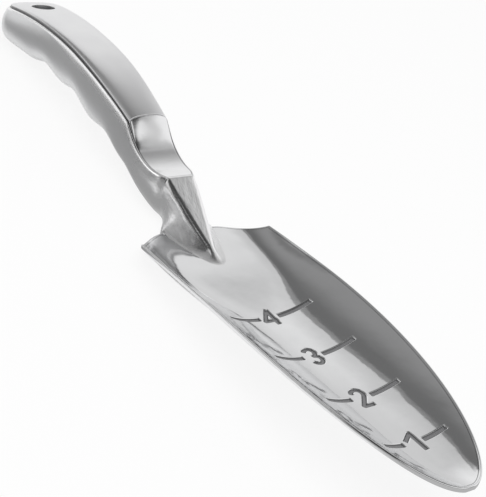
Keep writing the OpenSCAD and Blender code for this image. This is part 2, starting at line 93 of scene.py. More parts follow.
def smooth(t):
    u = np.clip(t, 0, 1)
    return u * u * (3 - 2 * u)


def mix(a, b, t):
    return a + (b - a) * t


BLADE_LENGTH = 144.0
BLADE_WIDTH = 59.996
SHOULDER_WIDTH = 58.8
WIDEST_AT = 114.0
RIM_HEIGHT = 12.7
TIP_RIM_HEIGHT = 2.0
BLADE_THICKNESS = 2.0
HEEL_BOW = 13.0
TIP_CURL = 12.0
RAMP_AT = 96.0
HEEL_AT = BLADE_LENGTH + HEEL_BOW
FOOT_LENGTH = 24.3
FOOT_WIDTH = 23.0
NOSE_AT = HEEL_AT - FOOT_LENGTH
SEAT_CLIMB = math.radians(5.7)
SEAT_HEIGHT = 6.9
LAND = FOOT_WIDTH / 2.0 + 0.4


def blade_half_width(s):
    s = np.asarray(s, float)
    fore = np.maximum(0, 1 - np.maximum(0, 1 - s / WIDEST_AT) ** 2.4) ** 0.52
    aft = ((s - WIDEST_AT) / (BLADE_LENGTH - WIDEST_AT)) ** 2
    return np.where(s < WIDEST_AT, BLADE_WIDTH * fore, mix(BLADE_WIDTH, SHOULDER_WIDTH, aft)) / 2


def seat_z(s):
    return SEAT_HEIGHT - (HEEL_AT - s) * math.tan(SEAT_CLIMB)


def floor_z(s):
    s = np.asarray(s, float)
    t = (s - RAMP_AT) / (NOSE_AT - RAMP_AT)
    climb = math.tan(SEAT_CLIMB) * (NOSE_AT - RAMP_AT) * t * t * (1 - t)
    rising = seat_z(NOSE_AT) * smooth(t) - climb
    tip = TIP_RIM_HEIGHT * np.maximum(0, 1 - s / TIP_CURL) ** 2
    return np.where(s >= NOSE_AT, seat_z(s), np.where(s <= RAMP_AT, tip, rising))


def dish_z(s, y):
    """Height of the dish, from its floor out to its rim."""
    s = np.asarray(s, float)
    held = np.minimum(s, BLADE_LENGTH)
    half = np.maximum(blade_half_width(held), 0.01)
    ramp = smooth((s - RAMP_AT) / (NOSE_AT - RAMP_AT))
    out = np.maximum(0, np.abs(y) - LAND * ramp) / np.maximum(half - LAND * ramp, 0.01)
    rim = RIM_HEIGHT - (RIM_HEIGHT - TIP_RIM_HEIGHT) * (np.abs(held - WIDEST_AT) / WIDEST_AT) ** 2.2
    return mix(floor_z(s), rim, out ** mix(2.15, 2.9, ramp))


MARK_PITCH = 25.4
MARK_DEPTH = 0.6
MARK_HALF_WIDTH = 0.9
NUMERAL_WIDE = 4.3
NUMERAL_HIGH = 8.5
NUMERAL_HALF_STROKE = 0.75
DASH_INNER_END = 4.2
DASH_OUTER_ENDS = (13.1, 18.0)


def arc(x, y, rx, ry, start, stop):
    turn = np.radians(np.linspace(start, stop, 15))
    return [(x + rx * math.cos(a), y + ry * math.sin(a)) for a in turn]


# Strokes of the numerals one to four, in a box about one wide and one high.
numerals = [
    [[(-0.55, 0.15), (0.44, 0.5), (0.44, -0.5)]],
    [arc(0, 0.22, 0.5, 0.28, 165, -40) + [(-0.5, -0.5), (0.5, -0.5)]],
    [arc(0, 0.25, 0.46, 0.25, 155, -80) + arc(0, -0.25, 0.5, 0.25, 80, -155)],
    [[(0.36, 0.5), (-0.6, -0.2), (0.62, -0.2)], [(0.36, 0.5), (0.36, -0.5)]],
]
# Every stroke as (start, end, half width, which ends are round), with the ends as points (s, y).
strokes = []
for mark, paths in enumerate(numerals, 1):
    at = MARK_PITCH * mark
    for path in paths:
        corners = [(at + q * NUMERAL_HIGH, p * NUMERAL_WIDE) for p, q in path]
        for i, (a, b) in enumerate(zip(corners, corners[1:])):
            round_ends = (i > 0, i < len(corners) - 2)
            strokes.append((a, b, NUMERAL_HALF_STROKE, round_ends))
    reach = mix(*DASH_OUTER_ENDS, math.sin(math.pi / 2 * (mark - 1) / 3))
    for side in (-1, 1):
        dash = (at, side * DASH_INNER_END), (at, side * reach)
        strokes.append((*dash, MARK_HALF_WIDTH, (False, False)))


def stroke_distance(s, y):
    """Distance in plan to the nearest stroke, below zero inside one."""
    nearest = np.full(np.broadcast(s, y).shape, 9)
    for (s0, y0), (s1, y1), half, round_ends in strokes:
        run = math.hypot(s1 - s0, y1 - y0)
        along = ((s - s0) * (s1 - s0) + (y - y0) * (y1 - y0)) / run
        aside = np.abs((s - s0) * (y1 - y0) - (y - y0) * (s1 - s0)) / run - half
        past = np.abs(along - run / 2) - run / 2
        box = np.hypot(np.maximum(aside, 0), np.maximum(past, 0))
        nearest = np.minimum(nearest, box + np.minimum(0, np.maximum(aside, past)))
        for rounded, (sc, yc) in zip(round_ends, ((s0, y0), (s1, y1))):
            if rounded:
                nearest = np.minimum(nearest, np.hypot(s - sc, y - yc) - half)
    return nearest


def groove(s, y):
    """How deep a point lies in a pressed mark, from 0 to 1."""
    return smooth(0.45 - stroke_distance(s, y) / 0.75)


def marked_z(s, y):
    return dish_z(s, y) - MARK_DEPTH * groove(s, y)


def slope_normals(height, s, y):
    """Upward normals of a height over the plan, as [x, y, z] with x towards the tip."""
    e = 0.02
    down_s = (height(s + e, y) - height(s - e, y)) / (2 * e)
    down_y = (height(s, y + e) - height(s, y - e)) / (2 * e)
    n = np.stack([down_s, -down_y, np.ones_like(down_s)], -1)
    return n / np.linalg.norm(n, axis=-1, keepdims=True)


# The dish's edge lies a lip's width inside the blade's outline, and the rim turns over outside it.
LIP = 1.25
LIP_RADIUS = 0.45
BEAD_RADIUS = 0.4
TIP_START = 0.16
outline_s = TIP_START + (BLADE_LENGTH - TIP_START) * np.linspace(0, 1, 4001)[1:] ** 3
outline_slope = np.gradient(blade_half_width(outline_s), outline_s)
length = np.hypot(1, outline_slope)
side_s = -outline_slope / length
side_y = 1 / length
inner_s = np.r_[LIP + TIP_START, outline_s - LIP * side_s]
inner_y = np.r_[0, blade_half_width(outline_s) - LIP * side_y]
inner_angle = np.r_[math.pi, np.arctan2(side_y, side_s)]

heel_y = np.linspace(0, SHOULDER_WIDTH / 2, 1500)
heel_u = np.maximum(0, heel_y - LAND) / (SHOULDER_WIDTH / 2 - LAND)
heel_s = BLADE_LENGTH + HEEL_BOW * (1 - heel_u ** 1.6)
heel_slope = np.gradient(heel_s, heel_y)
length = np.hypot(1, heel_slope)
heel_inner_s = heel_s - LIP / length
heel_inner_y = heel_y + LIP * heel_slope / length
heel_angle = np.arctan2(-heel_slope, 1)
# The corner where the inner lines of the side and the heel cross.
gap = heel_inner_y - np.interp(heel_inner_s, inner_s, inner_y)
corner = int(np.argmax(gap > 0))
corner_s = heel_inner_s[corner]


def spread(start, stop, step):
    count = max(1, int(round((stop - start) / step)))
    return list(np.linspace(start, stop, count + 1))[1:]


# Rows lie close together across the marks and at the tip, and further apart elsewhere.
MARK_BAND = 5.6
stations = [inner_s[0] + (18.6 - inner_s[0]) * r ** 1.8 for r in np.linspace(0, 1, 27)]
for mark in (1, 2, 3, 4):
    stations += spread(stations[-1], MARK_PITCH * mark - MARK_BAND, 1.3)
    stations += spread(stations[-1], MARK_PITCH * mark + MARK_BAND, 0.27)
stations += spread(stations[-1], corner_s, 1.1)
stations = np.array(stations)
half_ts = [0] + spread(0, 0.22, 0.0088) + spread(0.22, 0.57, 0.039) + spread(0.57, 0.68, 0.011)
half_ts += spread(0.68, 1, 0.025)
ts = np.array([-t for t in half_ts[:0:-1]] + half_ts)

row_s, row_t = np.meshgrid(stations, ts, indexing="ij")
grid_y = row_t * np.interp(row_s, inner_s, inner_y)
share = (np.maximum(0, row_s - RAMP_AT) / (corner_s - RAMP_AT)) ** 1.6
heel_line = np.interp(np.abs(grid_y), heel_inner_y[:corner + 1], heel_inner_s[:corner + 1])
grid_s = row_s + share * (heel_line - corner_s)


class Solid:
    """Points, faces and values for a mesh that is built up from strips."""

    def __init__(self):
        self.points = []
        self.normals = []
        self.values = []
        self.faces = []

    def add(self, points, normals=None, values=0):
        """Adds an array of points and returns the array of their numbers."""
        points = np.asarray(points, float)
        count = points[..., 0].size
        first = sum(len(p) for p in self.points)
        self.points.append(points.reshape(-1, 3))
        self.normals.append(np.zeros((count, 3)) if normals is None else normals.reshape(-1, 3))
        self.values.append(np.broadcast_to(values, points.shape[:-1]).reshape(-1))
        return np.arange(first, first + count).reshape(points.shape[:-1])

    def skin(self, rows, flip=False):
        """Joins successive rows of point numbers with faces, leaving out repeated corners."""
        rows = np.asarray(rows)
        quads = np.stack([rows[:-1, :-1], rows[1:, :-1], rows[1:, 1:], rows[:-1, 1:]], -1).reshape(-1, 4)
        if flip:
            quads = quads[:, ::-1]
        for quad in quads.tolist():
            corners = [q for i, q in enumerate(quad) if q != quad[i - 1]]
            if len(corners) > 2:
                self.faces.append(corners)

    def mesh(self, name, value_name=None):
        """Makes the mesh at rest, smooth, with the given normals where they are known."""
        points = at_rest(np.concatenate(self.points))
        mesh = bpy.data.meshes.new(name)
        mesh.from_pydata(points.tolist(), [], self.faces)
        if value_name:
            layer = mesh.attributes.new(value_name, "FLOAT", "POINT")
            layer.data.foreach_set("value", np.concatenate(self.values).astype(np.float32))
        mesh.validate()
        mesh.update()
        mesh.shade_smooth()
        known = np.concatenate(self.normals)
        given = np.linalg.norm(known, axis=1) > 0.5
        if given.any():
            found = np.zeros(len(points) * 3, np.float32)
            mesh.vertex_normals.foreach_get("vector", found)
            found = found.reshape(-1, 3)
            found[given] = (at_rest(known[given]) - at_rest([0, 0, 0])) * 1000
            mesh.normals_split_custom_set_from_vertices(found.tolist())
        return mesh


blade = Solid()
top = blade.add(
    plotted(grid_s, grid_y, marked_z(grid_s, grid_y)),
    slope_normals(marked_z, grid_s, grid_y),
    groove(grid_s, grid_y),
)
bottom = blade.add(
    plotted(grid_s, grid_y, dish_z(grid_s, grid_y) - BLADE_THICKNESS),
    -slope_normals(dish_z, grid_s, grid_y),
)
top[0, :] = top[0, 0]
bottom[0, :] = bottom[0, 0]
blade.skin(top, flip=True)
blade.skin(bottom)

# The rim runs from the tip along one side, round the corner, across the heel and back.
side_angles = np.interp(stations, inner_s, inner_angle)
heel_angles = np.interp(np.abs(grid_y[-1]), heel_inner_y[:corner + 1], heel_angle[:corner + 1])
turns = np.linspace(side_angles[-1], heel_angles[-1], 7)[1:-1]
right = [((i, -1), a) for i, a in enumerate(side_angles)]
right += [((-1, -1), a) for a in turns]
right += [((-1, j), heel_angles[j]) for j in range(len(ts) - 1, len(ts) // 2 - 1, -1)]
left = [((i, -1 - j), -a) for (i, j), a in right[::-1]]
places, angles = (np.array(values) for values in zip(*(right + left[1:-1])))
at_rim = tuple(places.T)
out = np.stack([np.cos(angles), np.sin(angles)], -1)
rim_s = grid_s[at_rim]
rim_y = grid_y[at_rim]
rim_z = dish_z(rim_s, rim_y)
back = 0.3
rise = (rim_z - dish_z(rim_s - back * out[:, 0], rim_y - back * out[:, 1])) / back
wall = np.arctan(rise)
# The wall turns up a little into a bead, then over and down to the blade's edge.
bead = math.radians(10) + math.radians(14) * smooth((30 - rim_s) / 25)
peak = wall + bead
level = LIP - LIP_RADIUS * (1 + np.sin(peak)) - BEAD_RADIUS * (np.sin(peak) - np.sin(wall))
lip = [(level * k, level * k * rise) for k in (0.5, 1)]
for k in np.linspace(0, 1, 5)[1:]:
    turn = mix(wall, peak, k)
    bead_out = level + BEAD_RADIUS * (np.sin(turn) - np.sin(wall))
    bead_up = level * rise + BEAD_RADIUS * (np.cos(wall) - np.cos(turn))
    lip.append((bead_out, bead_up))
for k in np.linspace(0, 1, 13)[1:]:
    turn = mix(peak, -math.pi / 2, k)
    over_out = bead_out + LIP_RADIUS * (np.sin(peak) - np.sin(turn))
    lip.append((over_out, bead_up + LIP_RADIUS * (np.cos(turn) - np.cos(peak))))
keel = -BLADE_THICKNESS + rise * LIP
for k in np.linspace(0, 1, 7):
    a, b, c = (1 - k) ** 2, 2 * k * (1 - k), k * k
    edge_out = (a + b) * LIP + c * (LIP - LIP_RADIUS) + 0 * rise
    lip.append((edge_out, a * (keel + LIP_RADIUS) + b * keel + c * (keel - rise * LIP_RADIUS)))
lip_out, lip_up = np.moveaxis(np.array(lip), 0, -1)
rim_points = plotted(
    rim_s[:, None] + out[:, :1] * lip_out,
    rim_y[:, None] + out[:, 1:] * lip_out,
    rim_z[:, None] + lip_up,
)
# The corner inside the bead is painted dark, as painted shade in the crease, most of all round the tip.
painted_hollow_shade = np.zeros(lip_out.shape)
painted_hollow_shade[:, 0] = 0.16 + 0.2 * smooth((50 - rim_s) / 35)
rim = blade.add(rim_points, None, painted_hollow_shade)
rim = np.c_[top[at_rim], rim, bottom[at_rim]]
blade.skin(np.r_[rim, rim[:1]])
blade_mesh = blade.mesh("blade_dish", "groove")


class Signal:
    """A node's output. Python's operators on it add Math nodes."""

    def __init__(self, socket):
        self.socket = socket
        self.tree = socket.id_data

    @staticmethod
    def node(tree, kind, values=None, output=0, stops=(), **settings):
        """Adds a node, sets it, fills or links its sockets, and returns one of its outputs."""
        made = tree.nodes.new(kind)
        for name, value in settings.items():
            setattr(made, name, value)
        if stops:
            elements = made.color_ramp.elements
            while len(elements) < len(stops):
                elements.new(1)
            for element, (position, colour) in zip(elements, stops):
                element.position = position
                element.color = colour
        for name, value in (values or {}).items():
            if isinstance(value, Signal):
                tree.links.new(value.socket, made.inputs[name])
            else:
                made.inputs[name].default_value = value
        return Signal(made.outputs[output]) if made.outputs else made

    def math(self, operation, *others, reflected=False):
        """Adds a Math node on this value and the others, or on the others and this value."""
        values = dict(enumerate((*others, self) if reflected else (self, *others)))
        return Signal.node(self.tree, "ShaderNodeMath", values, operation=operation)

    __add__ = partialmethod(math, "ADD")
    __radd__ = partialmethod(math, "ADD", reflected=True)
    __sub__ = partialmethod(math, "SUBTRACT")
    __rsub__ = partialmethod(math, "SUBTRACT", reflected=True)
    __mul__ = partialmethod(math, "MULTIPLY")
    __rmul__ = partialmethod(math, "MULTIPLY", reflected=True)
    __truediv__ = partialmethod(math, "DIVIDE")
    __rtruediv__ = partialmethod(math, "DIVIDE", reflected=True)

    def ramp(self, low, high):
        """Runs smoothly from 0 at low to 1 at high."""
        values = {0: self, 1: low, 2: high}
        return Signal.node(self.tree, "ShaderNodeMapRange", values, interpolation_type="SMOOTHSTEP")

    def axis(self, number):
        """One part of a vector: 0 for x, 1 for y and 2 for z."""
        return Signal.node(self.tree, "ShaderNodeSeparateXYZ", {0: self}, output=number)

    def noise(self, scale, detail=3, stretch=(1, 1, 1)):
        """Noise from 0 to 1 at a place, stretched along the three axes."""
        mapped = Signal.node(self.tree, "ShaderNodeMapping", {"Vector": self, "Scale": stretch})
        values = {"Vector": mapped, "Scale": scale, "Detail": detail}
        return Signal.node(self.tree, "ShaderNodeTexNoise", values)

    def blend(self, first, second):
        """The first colour where the value is 0, the second where it is 1, and mixed between."""
        values = {0: self, 6: first, 7: second}
        return Signal.node(self.tree, "ShaderNodeMix", values, output=2, data_type="RGBA")


node = Signal.node


def cleared(owner):
    """Empties the node tree of a material or a world."""
    owner.use_nodes = True
    owner.node_tree.nodes.clear()
    return owner.node_tree


def metal(name, build):
    """A metal whose base colour, roughness, bump and bareness come from build(place)."""
    material = bpy.data.materials.new(name)
    tree = cleared(material)
    place = node(tree, "ShaderNodeTexCoord", output="Object")
    colour, roughness, height, bump, *bare = build(place)
    normal = node(tree, "ShaderNodeBump", {"Height": height, "Distance": bump})
    values = {"Base Color": colour, "Roughness": roughness, "Normal": normal}
    values["Metallic"] = bare[0] if bare else 1
    shader = node(tree, "ShaderNodeBsdfPrincipled", values)
    node(tree, "ShaderNodeOutputMaterial", {"Surface": shader})
    return material


def painted(place, name):
    """A value that the mesh itself carries at a place."""
    return node(place.tree, "ShaderNodeAttribute", output="Fac", attribute_name=name)


def polished_sheet(place):
    # Buffing runs along the blade. The pressed marks are painted dark and lose most of their shine, as
    # painted shade in their hollows.
    buffing = place.noise(1400, stretch=(0.06, 1, 1))
    cloud = place.noise(60)
    waves = place.noise(75, 1.5, stretch=(0.7, 1, 1))
    marked = painted(place, "groove")
    worn = cloud.blend((0.87, 0.873, 0.88, 1), (0.82, 0.823, 0.83, 1))
    # The dark colour of the marks is painted shade.
    painted_hollow_shade = marked.ramp(0.6, 1).blend((0.07, 0.07, 0.072, 1), (0.19, 0.19, 0.195, 1))
    colour = marked.ramp(0.12, 0.45).blend(worn, painted_hollow_shade)
    roughness = 0.06 + buffing * 0.03 + cloud * 0.02 + marked * 0.3
    ripples = place.noise(320, 2, stretch=(0.8, 1, 1))
    height = waves + ripples * 0.09 + buffing * 0.005
    return colour, roughness, height, 0.0003, 1 - marked.ramp(0.15, 0.55) * 0.8


sheet = in_scene("blade_polished", blade_mesh)
blade_mesh.materials.append(metal("polished_blade_aluminium", polished_sheet))
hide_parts("blade")
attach(sheet, "root")

# ---- Handle body ----
# The body is one aluminium casting: foot, neck and grip with finger grooves, bored for hanging.
# Its foot is seated on the blade's heel and riveted. A recess in its top takes the thumb rest
# and the grip panel. The border around them is rubbed smooth by the hand, and its colour is
# lightened as a painted highlight.

CREST_AT = HEEL_AT + 9.8
RIDGE_AT = CREST_AT + 27.6
BUTT_AT = RIDGE_AT + 109.0
CROWN_AT = BUTT_AT - 38.0
ROUND_AT = BUTT_AT - 13.0
HOLE_AT = BUTT_AT - 17.0
WAIST_AT = RIDGE_AT + 54.5
PALM_AT = RIDGE_AT + 27.25
POINT_AT = NOSE_AT + 4.3
CREST_HEIGHT = 24.5
ARCH_TOP = 49.6
ARCH_RADIUS = 187.0
THUMB_SLOPE = math.radians(44.0)
THUMB_RADIUS = 24.0
CREST_WIDTH = 12.3
NECK_WIDTH = 16.0
BUTT_WIDTH = 24.8
BUTT_ROUNDING = 13.0
BUTT_POWER = 2.4
FOOT_BLEND = 13.0
FINGER_PITCH = 26.0
FINGER_DEPTH = 1.2
BORDER = 0.7
RECESS_DEPTH = 2.0
INLAY_GAP = 0.15


def curve(points, at):
    """Smooth curve through a short list of (position, value) points."""
    points = np.array(points, float)
    at = np.asarray(at, float)
    last = len(points) - 1
    i = np.clip(np.searchsorted(points[:, 0], at, side="right") - 1, 0, last - 1)
    before = np.maximum(np.arange(last + 1) - 1, 0)
    after = np.minimum(np.arange(last + 1) + 1, last)
    tangent = (points[after, 1] - points[before, 1]) / (points[after, 0] - points[before, 0])
    a, b = points[i], points[i + 1]
    run = b[..., 0] - a[..., 0]
    t = np.clip((at - a[..., 0]) / run, 0, 1)
    chord = (b[..., 1] - a[..., 1]) / run
    bend = (tangent[i] - chord) * run * (1 - t) - (tangent[i + 1] - chord) * run * t
    return mix(a[..., 1], b[..., 1], t) + t * (1 - t) * bend


def neck_z(s):
    def neck_rise(at):
        return np.sqrt((at - NOSE_AT) ** 2 + 9) - 3

    return seat_z(s) + (CREST_HEIGHT - seat_z(CREST_AT)) * neck_rise(s) / neck_rise(CREST_AT)


def arch_z(s):
    return ARCH_TOP - ARCH_RADIUS + np.sqrt(ARCH_RADIUS**2 - (s - CROWN_AT) ** 2)


THUMB_CORNER_AT = RIDGE_AT - (arch_z(RIDGE_AT) - CREST_HEIGHT) / math.tan(THUMB_SLOPE)


def thumb_z(s):
    """A level seat, an arc and a straight slope up to the ridge."""
    on = s - (THUMB_CORNER_AT - THUMB_RADIUS * math.tan(THUMB_SLOPE / 2))
    bowl = CREST_HEIGHT + THUMB_RADIUS - np.sqrt(np.maximum(0, THUMB_RADIUS**2 - on**2))
    slope = CREST_HEIGHT + (s - THUMB_CORNER_AT) * math.tan(THUMB_SLOPE)
    risen = np.where(on >= THUMB_RADIUS * math.sin(THUMB_SLOPE), slope, bowl)
    return np.where(on <= 0, CREST_HEIGHT, risen)


def edge_z(s):
    return np.where(s < CREST_AT, neck_z(s), np.where(s < RIDGE_AT, thumb_z(s), arch_z(s)))


def rounding(s, power=BUTT_POWER):
    """Share of its full size that the butt keeps as it rounds off."""
    beyond = np.maximum(0, s - ROUND_AT) / BUTT_ROUNDING
    return np.maximum(0, 1 - beyond**power) ** (1 / power)


width_line = [
    (CREST_AT, CREST_WIDTH / 2),
    (CREST_AT + 3.9, 7.85),
    (CREST_AT + 11.6, 8.7),
    (RIDGE_AT, 9.6),
    (PALM_AT, 11),
    (WAIST_AT, 11.3),
    (ROUND_AT, BUTT_WIDTH / 2),
]


def edge_half_width(s):
    climb = np.sin(np.pi / 2 * np.clip((s - POINT_AT) / (CREST_AT - POINT_AT), 0, 1))
    toe = 1.2 * np.sqrt(np.clip((s - NOSE_AT) / 5, 0, 1))
    neck = np.maximum(toe, mix(0.15, CREST_WIDTH / 2, climb))
    grip = np.where(s < ROUND_AT, curve(width_line, s), BUTT_WIDTH / 2 * rounding(s))
    return np.where(s < CREST_AT, neck, grip)


def recess_half_width(s):
    butt = (BUTT_WIDTH / 2 - BORDER) * rounding(s)
    return np.where(s > ROUND_AT, butt, edge_half_width(s) - BORDER)


under_line = [
    (HEEL_AT, seat_z(HEEL_AT) - BLADE_THICKNESS),
    (CREST_AT, seat_z(HEEL_AT) - 0.4),
    (CREST_AT + 13.8, 10.5),
    (RIDGE_AT, arch_z(RIDGE_AT) - 19.4),
    (PALM_AT, arch_z(PALM_AT) - 20.8),
    (WAIST_AT, arch_z(WAIST_AT) - 19.6),
    (BUTT_AT, arch_z(BUTT_AT) - 14.6),
]


def under_z(s):
    """The underside behind the foot, with its three finger grooves."""
    turn = (BUTT_AT - 41 - s) / FINGER_PITCH
    wave = FINGER_DEPTH * (1 + np.cos(2 * np.pi * turn))
    finger = np.where((turn < -0.5) | (turn > 2.5), 0, wave)
    return np.where(s <= HEEL_AT, seat_z(s), curve(under_line, s) + finger)


def foot_half_width(s):
    fore = FOOT_WIDTH / 2 * np.sqrt(np.maximum(0, (s - NOSE_AT) / FOOT_LENGTH))
    aft = mix(FOOT_WIDTH, NECK_WIDTH, smooth((s - HEEL_AT) / FOOT_BLEND)) / 2
    return np.where(s < HEEL_AT, fore, aft)


def side_half_width(s):
    fore = mix((NECK_WIDTH - CREST_WIDTH) / 2, 1.2, smooth((s - CREST_AT) / 27.6))
    aft = mix(1.2, 2.9, smooth((s - WAIST_AT) / (ROUND_AT - WAIST_AT)))
    return edge_half_width(s) + np.where(s < WAIST_AT, fore, aft) * rounding(s)


KEEL = 11.0
SOLE = 8.0
SQUARENESS = 0.56
BUTT_LEAN = 2.75
HELD_IN = 0.9965


def half_section(s, k):
    """A point of the outside at station s, from the edge at k = 0 down to the keel."""
    turn = np.radians(90 * k / KEEL)
    down = np.sin(turn) ** SQUARENESS
    inward = np.maximum(0, np.cos(turn)) ** SQUARENESS
    swell = 1 - (1 - down) ** 3
    beyond = np.maximum(0, s - ROUND_AT) / BUTT_ROUNDING
    aback = BUTT_LEAN * swell * inward * beyond**1.4
    depth = (edge_z(s) - under_z(s)) * rounding(s, 3.5) * HELD_IN
    aside = mix(edge_half_width(s), side_half_width(s), swell) * inward
    grip = plotted(s + aback, aside, edge_z(s) - depth * down)
    # Round the foot the flank runs down to its sole on the blade, and from there to the middle.
    fall = np.minimum(1, k / SOLE)
    hollow = fall ** mix(1.1, 2.6, smooth((s - NOSE_AT - 2) / 7))
    flank = mix(edge_half_width(s), foot_half_width(s), hollow)
    flank_z = mix(edge_z(s), np.minimum(seat_z(s), edge_z(s)), fall)
    sole = foot_half_width(s) * np.sqrt(np.clip((KEEL - k) / (KEEL - SOLE), 0, 1))
    above = k <= SOLE
    foot = plotted(s, np.where(above, flank, sole), np.where(above, flank_z, under_z(s)))
    share = (1 - smooth((s - HEEL_AT) / FOOT_BLEND))[..., None]
    return mix(grip, foot, share)


START = CREST_AT + BORDER
body_rows = [NOSE_AT + FOOT_LENGTH * (i / 40) ** 2 for i in range(1, 41)]
body_rows += spread(HEEL_AT, CREST_AT - 0.5, 0.7)
body_rows += spread(CREST_AT - 0.5, START, 0.1)[:-1] + [START - 0.001, START + 0.001]
body_rows += spread(START + 0.001, RIDGE_AT, 0.7) + spread(RIDGE_AT, ROUND_AT, 1.1)
body_rows += [ROUND_AT + BUTT_ROUNDING * math.sin(math.pi / 2 * i / 28) for i in range(1, 28)]
body_rows += [BUTT_AT - 0.03]
body_s = np.array(body_rows)
in_recess = body_s > START

edge_y = edge_half_width(body_s)
# The recess has the outline of the butt drawn in by the border, so its rows lie further forward.
beyond = np.maximum(0, body_s - ROUND_AT) / BUTT_ROUNDING
inset_s = np.where(body_s > ROUND_AT, ROUND_AT + (BUTT_ROUNDING - BORDER) * beyond, body_s)
# The facet on the neck's top narrows to a point short of the nose.
facet_half = np.maximum(0.2 * (body_s - NOSE_AT) - 1.6, 0.1 * edge_y)
inset_y = np.where(in_recess, recess_half_width(body_s), 0.8 * facet_half)
# The crest is a soft ridge between the neck's flat top and the seat of the thumb rest.
near_crest = np.clip(1 - np.abs(body_s - CREST_AT) / 0.6, 0, 1)
body_z = edge_z(body_s)
top_edge_z = body_z - 0.1 * near_crest**2
inset_z = np.where(body_s > ROUND_AT, edge_z(inset_s), top_edge_z)
recess_depth = np.where(in_recess, RECESS_DEPTH, 0)

# The edge is rounded over widely beside the facet, where the casting was dressed by hand.
down_neck = smooth((CREST_AT - body_s) / (CREST_AT - NOSE_AT))
worn = smooth((WAIST_AT + 14 - body_s) / 30) * smooth((body_s - RIDGE_AT + 12) / 14)
round_out = np.where(in_recess, mix(0.6, 0.76, worn), (edge_y - facet_half) / BORDER)
round_down = np.where(in_recess, mix(0.9, 3.6, worn), mix(2, 4.6, down_neck))
lowest = np.minimum(seat_z(body_s), under_z(body_s))
round_down = np.minimum(round_down, 0.45 * (body_z - lowest))
most = 0.3 * (body_z - under_z(body_s)) * rounding(body_s, 3.5)
ks = np.linspace(0, KEEL, 1200)
start_k = []
for s, drop in zip(body_s, np.minimum(round_down, most)):
    fallen = edge_z(s) - half_section(np.full_like(ks, s), ks)[:, 2]
    start_k.append(np.interp(drop, fallen, ks))
start_k = np.array(start_k)
body = Solid()
half = []
bright = []


# A point of the recess border carries its share of painted highlight in shine.
def ring_point(s, y, z, shine=0):
    half.append(plotted(s, y, z))
    bright.append(np.where(in_recess, shine, 0.3))


bed_z = inset_z - recess_depth
ring_point(inset_s, 0, bed_z)
ring_point(inset_s, 0.5 * inset_y, bed_z)
ring_point(inset_s, inset_y, bed_z)
for up, aside in ((0.8, 0), (0.16, 0), (0.05, 0.05), (0, 0.16)):
    towards_edge = np.where(in_recess, aside / BORDER, 0.1 * aside)
    ring_point(inset_s, mix(inset_y, edge_y, towards_edge), inset_z - np.where(in_recess, up, 0), 1)
outer = half_section(body_s, start_k)
shoulder_y = np.where(in_recess, mix(inset_y, edge_y, 1 - round_out), edge_y - round_out * BORDER)
shoulder_s = np.where(in_recess, mix(inset_s, body_s, 1 - round_out), body_s)
shoulder_z = np.where(body_s > ROUND_AT, edge_z(shoulder_s), top_edge_z)
shoulder = plotted(shoulder_s, shoulder_y, shoulder_z)
crown_corner = plotted(body_s, edge_y, top_edge_z)
past_crest = smooth((body_s - CREST_AT + 6) / 6)
# The shoulder's rounding carries a painted highlight beyond the crest, fading towards the flank.
for q in np.linspace(0, 1, 10):
    half.append((1 - q) ** 2 * shoulder + 2 * q * (1 - q) * crown_corner + q * q * outer)
    bright.append(mix(0.3, 1 - smooth((q - 0.75) / 0.3), past_crest))
# A thin painted highlight runs along the line where the foot's flank meets its sole.
beside_foot = smooth((HEEL_AT + 3 - body_s) / 4)
for q in np.linspace(0, 1, 27)[1:]:
    ring_k = mix(start_k, KEEL, q)
    half.append(half_section(body_s, ring_k))
    bright.append(smooth(1 - np.abs(ring_k - SOLE) / 0.7) * beside_foot)
half = np.stack(half, 1)
bright = np.stack(bright, 1)
half[:, -1, 1] = 0
mirrored = half[:, -2:0:-1] * np.array([1, -1, 1])
bright = np.c_[bright, bright[:, -2:0:-1]]
rings = body.add(np.concatenate([half, mirrored], 1), None, bright)
rings = np.c_[rings, rings[:, :1]]
body.skin(rings)
nose_point = body.add([[-NOSE_AT, 0, seat_z(NOSE_AT)]])[0]
butt_point = body.add([[0.04 - BUTT_AT, 0, half[-1, :, 2].mean()]])[0]
body.skin([np.full_like(rings[0], nose_point), rings[0]])
body.skin([rings[-1], np.full_like(rings[0], butt_point)])
body_object = in_scene("handle_casting", body.mesh("handle_casting", "highlight_and_rub"))

# The hang hole is bored square to the arch, with its two mouths rounded.
HOLE_RADIUS = 5.0
HOLE_FLOOR = -18.4
HOLE_LEAN = math.asin((HOLE_AT - CROWN_AT) / ARCH_RADIUS)
HOLE_MOUTH = np.array([-HOLE_AT, 0.0, arch_z(HOLE_AT)])
SHARP_ANGLE = math.radians(38.0)


def drill_tool(profile):
    """A turned cutter along the hang hole, from (height over the arch, radius) points."""
    tool = Solid()
    axis = np.array([-math.sin(HOLE_LEAN), 0, math.cos(HOLE_LEAN)])
    fore = np.array([math.cos(HOLE_LEAN), 0, math.sin(HOLE_LEAN)])
    turns = np.linspace(0, 2 * math.pi, 97)[:-1]
    circle = np.cos(turns)[:, None] * fore + np.sin(turns)[:, None] * np.array([0, 1, 0])
    numbers = tool.add([HOLE_MOUTH + axis * up + radius * circle for up, radius in profile])
    tool.skin(np.c_[numbers, numbers[:, :1]], flip=True)
    tool.faces += [numbers[-1].tolist(), numbers[0].tolist()[::-1]]
    return in_scene("drill_tool", tool.mesh("drill_tool"))


def flare(level, direction, radius=0.5):
    """The rounded mouth of the hole, at a level along its axis."""
    points = []
    for a in np.linspace(0, math.pi / 2, 7):
        up = level - direction * radius * (1 - math.sin(a))
        points.append((up, HOLE_RADIUS + radius * (1 - math.cos(a))))
    return points + [(level + direction * 3, HOLE_RADIUS + radius * 1.001)]


cutter = drill_tool(flare(HOLE_FLOOR, -1)[::-1] + flare(2, 1))


